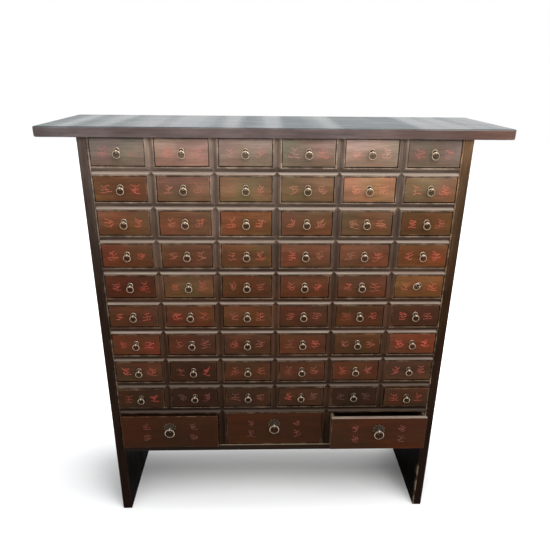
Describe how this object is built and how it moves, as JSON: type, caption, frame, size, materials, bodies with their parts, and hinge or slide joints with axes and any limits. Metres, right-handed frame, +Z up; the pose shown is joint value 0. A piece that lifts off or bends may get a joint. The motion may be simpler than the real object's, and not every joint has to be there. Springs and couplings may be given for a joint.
{
  "type": "apothecary cabinet",
  "caption": "East Asian apothecary cabinet: a grid of small drawers with ring pulls over wider drawers, under a long flat top on two side boards.",
  "frame": {"origin": "on the floor, under the middle of the cabinet's outer box with the drawers and rings at rest", "axes": "+Z up from the floor, -Y the way the drawer fronts face, +X to the right as seen from the front"},
  "size_m": [1.175, 0.3862, 1.2],
  "materials": {
    "dark_wood": "dark brown lacquer, worn pale on the lips",
    "drawer_wood": "worn red-brown lacquer",
    "brass": "old and tarnished, rubbed bright"
  },
  "bodies": {
    "cabinet": {"top_board": "dark_wood", "side_boards": "dark_wood", "drawer_case": "dark_wood"},
    "drawer_r1_c1": {"drawer_r1_c1": "drawer_wood"},
    "drawer_r1_c2": {"drawer_r1_c2": "drawer_wood"},
    "drawer_r1_c3": {"drawer_r1_c3": "drawer_wood"},
    "drawer_r1_c4": {"drawer_r1_c4": "drawer_wood"},
    "drawer_r1_c5": {"drawer_r1_c5": "drawer_wood"},
    "drawer_r1_c6": {"drawer_r1_c6": "drawer_wood"},
    "drawer_r2_c1": {"drawer_r2_c1": "drawer_wood"},
    "drawer_r2_c2": {"drawer_r2_c2": "drawer_wood"},
    "drawer_r2_c3": {"drawer_r2_c3": "drawer_wood"},
    "drawer_r2_c4": {"drawer_r2_c4": "drawer_wood"},
    "drawer_r2_c5": {"drawer_r2_c5": "drawer_wood"},
    "drawer_r2_c6": {"drawer_r2_c6": "drawer_wood"},
    "drawer_r3_c1": {"drawer_r3_c1": "drawer_wood"},
    "drawer_r3_c2": {"drawer_r3_c2": "drawer_wood"},
    "drawer_r3_c3": {"drawer_r3_c3": "drawer_wood"},
    "drawer_r3_c4": {"drawer_r3_c4": "drawer_wood"},
    "drawer_r3_c5": {"drawer_r3_c5": "drawer_wood"},
    "drawer_r3_c6": {"drawer_r3_c6": "drawer_wood"},
    "drawer_r4_c1": {"drawer_r4_c1": "drawer_wood"},
    "drawer_r4_c2": {"drawer_r4_c2": "drawer_wood"},
    "drawer_r4_c3": {"drawer_r4_c3": "drawer_wood"},
    "drawer_r4_c4": {"drawer_r4_c4": "drawer_wood"},
    "drawer_r4_c5": {"drawer_r4_c5": "drawer_wood"},
    "drawer_r4_c6": {"drawer_r4_c6": "drawer_wood"},
    "drawer_r5_c1": {"drawer_r5_c1": "drawer_wood"},
    "drawer_r5_c2": {"drawer_r5_c2": "drawer_wood"},
    "drawer_r5_c3": {"drawer_r5_c3": "drawer_wood"},
    "drawer_r5_c4": {"drawer_r5_c4": "drawer_wood"},
    "drawer_r5_c5": {"drawer_r5_c5": "drawer_wood"},
    "drawer_r5_c6": {"drawer_r5_c6": "drawer_wood"},
    "drawer_r6_c1": {"drawer_r6_c1": "drawer_wood"},
    "drawer_r6_c2": {"drawer_r6_c2": "drawer_wood"},
    "drawer_r6_c3": {"drawer_r6_c3": "drawer_wood"},
    "drawer_r6_c4": {"drawer_r6_c4": "drawer_wood"},
    "drawer_r6_c5": {"drawer_r6_c5": "drawer_wood"},
    "drawer_r6_c6": {"drawer_r6_c6": "drawer_wood"},
    "drawer_r7_c1": {"drawer_r7_c1": "drawer_wood"},
    "drawer_r7_c2": {"drawer_r7_c2": "drawer_wood"},
    "drawer_r7_c3": {"drawer_r7_c3": "drawer_wood"},
    "drawer_r7_c4": {"drawer_r7_c4": "drawer_wood"},
    "drawer_r7_c5": {"drawer_r7_c5": "drawer_wood"},
    "drawer_r7_c6": {"drawer_r7_c6": "drawer_wood"},
    "drawer_r8_c1": {"drawer_r8_c1": "drawer_wood"},
    "drawer_r8_c2": {"drawer_r8_c2": "drawer_wood"},
    "drawer_r8_c3": {"drawer_r8_c3": "drawer_wood"},
    "drawer_r8_c4": {"drawer_r8_c4": "drawer_wood"},
    "drawer_r8_c5": {"drawer_r8_c5": "drawer_wood"},
    "drawer_r8_c6": {"drawer_r8_c6": "drawer_wood"},
    "drawer_r9_c1": {"drawer_r9_c1": "drawer_wood"},
    "drawer_r9_c2": {"drawer_r9_c2": "drawer_wood"},
    "drawer_r9_c3": {"drawer_r9_c3": "drawer_wood"},
    "drawer_r9_c4": {"drawer_r9_c4": "drawer_wood"},
    "drawer_r9_c5": {"drawer_r9_c5": "drawer_wood"},
    "drawer_r9_c6": {"drawer_r9_c6": "drawer_wood"},
    "drawer_wide_1": {"drawer_wide_1": "drawer_wood"},
    "drawer_wide_2": {"drawer_wide_2": "drawer_wood"},
    "drawer_wide_3": {"drawer_wide_3": "drawer_wood"}
  },
  "joints": [
    {"name": "drawer_r1_c1_slide", "type": "slide", "parent": "cabinet", "child": "drawer_r1_c1", "axis": [0, -1, 0], "range_m": [0, 0.23]},
    {"name": "drawer_r1_c2_slide", "type": "slide", "parent": "cabinet", "child": "drawer_r1_c2", "axis": [0, -1, 0], "range_m": [0, 0.23]},
    {"name": "drawer_r1_c3_slide", "type": "slide", "parent": "cabinet", "child": "drawer_r1_c3", "axis": [0, -1, 0], "range_m": [0, 0.23]},
    {"name": "drawer_r1_c4_slide", "type": "slide", "parent": "cabinet", "child": "drawer_r1_c4", "axis": [0, -1, 0], "range_m": [0, 0.23]},
    {"name": "drawer_r1_c5_slide", "type": "slide", "parent": "cabinet", "child": "drawer_r1_c5", "axis": [0, -1, 0], "range_m": [0, 0.23]},
    {"name": "drawer_r1_c6_slide", "type": "slide", "parent": "cabinet", "child": "drawer_r1_c6", "axis": [0, -1, 0], "range_m": [0, 0.23]},
    {"name": "drawer_r2_c1_slide", "type": "slide", "parent": "cabinet", "child": "drawer_r2_c1", "axis": [0, -1, 0], "range_m": [0, 0.23]},
    {"name": "drawer_r2_c2_slide", "type": "slide", "parent": "cabinet", "child": "drawer_r2_c2", "axis": [0, -1, 0], "range_m": [0, 0.23]},
    {"name": "drawer_r2_c3_slide", "type": "slide", "parent": "cabinet", "child": "drawer_r2_c3", "axis": [0, -1, 0], "range_m": [0, 0.23]},
    {"name": "drawer_r2_c4_slide", "type": "slide", "parent": "cabinet", "child": "drawer_r2_c4", "axis": [0, -1, 0], "range_m": [0, 0.23]},
    {"name": "drawer_r2_c5_slide", "type": "slide", "parent": "cabinet", "child": "drawer_r2_c5", "axis": [0, -1, 0], "range_m": [0, 0.23]},
    {"name": "drawer_r2_c6_slide", "type": "slide", "parent": "cabinet", "child": "drawer_r2_c6", "axis": [0, -1, 0], "range_m": [0, 0.23]},
    {"name": "drawer_r3_c1_slide", "type": "slide", "parent": "cabinet", "child": "drawer_r3_c1", "axis": [0, -1, 0], "range_m": [0, 0.23]},
    {"name": "drawer_r3_c2_slide", "type": "slide", "parent": "cabinet", "child": "drawer_r3_c2", "axis": [0, -1, 0], "range_m": [0, 0.23]},
    {"name": "drawer_r3_c3_slide", "type": "slide", "parent": "cabinet", "child": "drawer_r3_c3", "axis": [0, -1, 0], "range_m": [0, 0.23]},
    {"name": "drawer_r3_c4_slide", "type": "slide", "parent": "cabinet", "child": "drawer_r3_c4", "axis": [0, -1, 0], "range_m": [0, 0.23]},
    {"name": "drawer_r3_c5_slide", "type": "slide", "parent": "cabinet", "child": "drawer_r3_c5", "axis": [0, -1, 0], "range_m": [0, 0.23]},
    {"name": "drawer_r3_c6_slide", "type": "slide", "parent": "cabinet", "child": "drawer_r3_c6", "axis": [0, -1, 0], "range_m": [0, 0.23]},
    {"name": "drawer_r4_c1_slide", "type": "slide", "parent": "cabinet", "child": "drawer_r4_c1", "axis": [0, -1, 0], "range_m": [0, 0.23]},
    {"name": "drawer_r4_c2_slide", "type": "slide", "parent": "cabinet", "child": "drawer_r4_c2", "axis": [0, -1, 0], "range_m": [0, 0.23]},
    {"name": "drawer_r4_c3_slide", "type": "slide", "parent": "cabinet", "child": "drawer_r4_c3", "axis": [0, -1, 0], "range_m": [0, 0.23]},
    {"name": "drawer_r4_c4_slide", "type": "slide", "parent": "cabinet", "child": "drawer_r4_c4", "axis": [0, -1, 0], "range_m": [0, 0.23]},
    {"name": "drawer_r4_c5_slide", "type": "slide", "parent": "cabinet", "child": "drawer_r4_c5", "axis": [0, -1, 0], "range_m": [0, 0.23]},
    {"name": "drawer_r4_c6_slide", "type": "slide", "parent": "cabinet", "child": "drawer_r4_c6", "axis": [0, -1, 0], "range_m": [0, 0.23]},
    {"name": "drawer_r5_c1_slide", "type": "slide", "parent": "cabinet", "child": "drawer_r5_c1", "axis": [0, -1, 0], "range_m": [0, 0.23]},
    {"name": "drawer_r5_c2_slide", "type": "slide", "parent": "cabinet", "child": "drawer_r5_c2", "axis": [0, -1, 0], "range_m": [0, 0.23]},
    {"name": "drawer_r5_c3_slide", "type": "slide", "parent": "cabinet", "child": "drawer_r5_c3", "axis": [0, -1, 0], "range_m": [0, 0.23]},
    {"name": "drawer_r5_c4_slide", "type": "slide", "parent": "cabinet", "child": "drawer_r5_c4", "axis": [0, -1, 0], "range_m": [0, 0.23]},
    {"name": "drawer_r5_c5_slide", "type": "slide", "parent": "cabinet", "child": "drawer_r5_c5", "axis": [0, -1, 0], "range_m": [0, 0.23]},
    {"name": "drawer_r5_c6_slide", "type": "slide", "parent": "cabinet", "child": "drawer_r5_c6", "axis": [0, -1, 0], "range_m": [0, 0.23]},
    {"name": "drawer_r6_c1_slide", "type": "slide", "parent": "cabinet", "child": "drawer_r6_c1", "axis": [0, -1, 0], "range_m": [0, 0.23]},
    {"name": "drawer_r6_c2_slide", "type": "slide", "parent": "cabinet", "child": "drawer_r6_c2", "axis": [0, -1, 0], "range_m": [0, 0.23]},
    {"name": "drawer_r6_c3_slide", "type": "slide", "parent": "cabinet", "child": "drawer_r6_c3", "axis": [0, -1, 0], "range_m": [0, 0.23]},
    {"name": "drawer_r6_c4_slide", "type": "slide", "parent": "cabinet", "child": "drawer_r6_c4", "axis": [0, -1, 0], "range_m": [0, 0.23]},
    {"name": "drawer_r6_c5_slide", "type": "slide", "parent": "cabinet", "child": "drawer_r6_c5", "axis": [0, -1, 0], "range_m": [0, 0.23]},
    {"name": "drawer_r6_c6_slide", "type": "slide", "parent": "cabinet", "child": "drawer_r6_c6", "axis": [0, -1, 0], "range_m": [0, 0.23]},
    {"name": "drawer_r7_c1_slide", "type": "slide", "parent": "cabinet", "child": "drawer_r7_c1", "axis": [0, -1, 0], "range_m": [0, 0.23]},
    {"name": "drawer_r7_c2_slide", "type": "slide", "parent": "cabinet", "child": "drawer_r7_c2", "axis": [0, -1, 0], "range_m": [0, 0.23]},
    {"name": "drawer_r7_c3_slide", "type": "slide", "parent": "cabinet", "child": "drawer_r7_c3", "axis": [0, -1, 0], "range_m": [0, 0.23]},
    {"name": "drawer_r7_c4_slide", "type": "slide", "parent": "cabinet", "child": "drawer_r7_c4", "axis": [0, -1, 0], "range_m": [0, 0.23]},
    {"name": "drawer_r7_c5_slide", "type": "slide", "parent": "cabinet", "child": "drawer_r7_c5", "axis": [0, -1, 0], "range_m": [0, 0.23]},
    {"name": "drawer_r7_c6_slide", "type": "slide", "parent": "cabinet", "child": "drawer_r7_c6", "axis": [0, -1, 0], "range_m": [0, 0.23]},
    {"name": "drawer_r8_c1_slide", "type": "slide", "parent": "cabinet", "child": "drawer_r8_c1", "axis": [0, -1, 0], "range_m": [0, 0.23]},
    {"name": "drawer_r8_c2_slide", "type": "slide", "parent": "cabinet", "child": "drawer_r8_c2", "axis": [0, -1, 0], "range_m": [0, 0.23]},
    {"name": "drawer_r8_c3_slide", "type": "slide", "parent": "cabinet", "child": "drawer_r8_c3", "axis": [0, -1, 0], "range_m": [0, 0.23]},
    {"name": "drawer_r8_c4_slide", "type": "slide", "parent": "cabinet", "child": "drawer_r8_c4", "axis": [0, -1, 0], "range_m": [0, 0.23]},
    {"name": "drawer_r8_c5_slide", "type": "slide", "parent": "cabinet", "child": "drawer_r8_c5", "axis": [0, -1, 0], "range_m": [0, 0.23]},
    {"name": "drawer_r8_c6_slide", "type": "slide", "parent": "cabinet", "child": "drawer_r8_c6", "axis": [0, -1, 0], "range_m": [0, 0.23]},
    {"name": "drawer_r9_c1_slide", "type": "slide", "parent": "cabinet", "child": "drawer_r9_c1", "axis": [0, -1, 0], "range_m": [-0.005, 0.225]},
    {"name": "drawer_r9_c2_slide", "type": "slide", "parent": "cabinet", "child": "drawer_r9_c2", "axis": [0, -1, 0], "range_m": [0, 0.23]},
    {"name": "drawer_r9_c3_slide", "type": "slide", "parent": "cabinet", "child": "drawer_r9_c3", "axis": [0, -1, 0], "range_m": [0, 0.23]},
    {"name": "drawer_r9_c4_slide", "type": "slide", "parent": "cabinet", "child": "drawer_r9_c4", "axis": [0, -1, 0], "range_m": [0, 0.23]},
    {"name": "drawer_r9_c5_slide", "type": "slide", "parent": "cabinet", "child": "drawer_r9_c5", "axis": [0, -1, 0], "range_m": [0, 0.23]},
    {"name": "drawer_r9_c6_slide", "type": "slide", "parent": "cabinet", "child": "drawer_r9_c6", "axis": [0, -1, 0], "range_m": [-0.008, 0.222]},
    {"name": "drawer_wide_1_slide", "type": "slide", "parent": "cabinet", "child": "drawer_wide_1", "axis": [0, -1, 0], "range_m": [-0.014, 0.216]},
    {"name": "drawer_wide_2_slide", "type": "slide", "parent": "cabinet", "child": "drawer_wide_2", "axis": [0, -1, 0], "range_m": [0, 0.23]},
    {"name": "drawer_wide_3_slide", "type": "slide", "parent": "cabinet", "child": "drawer_wide_3", "axis": [0, -1, 0], "range_m": [-0.031, 0.199]}
  ]
}
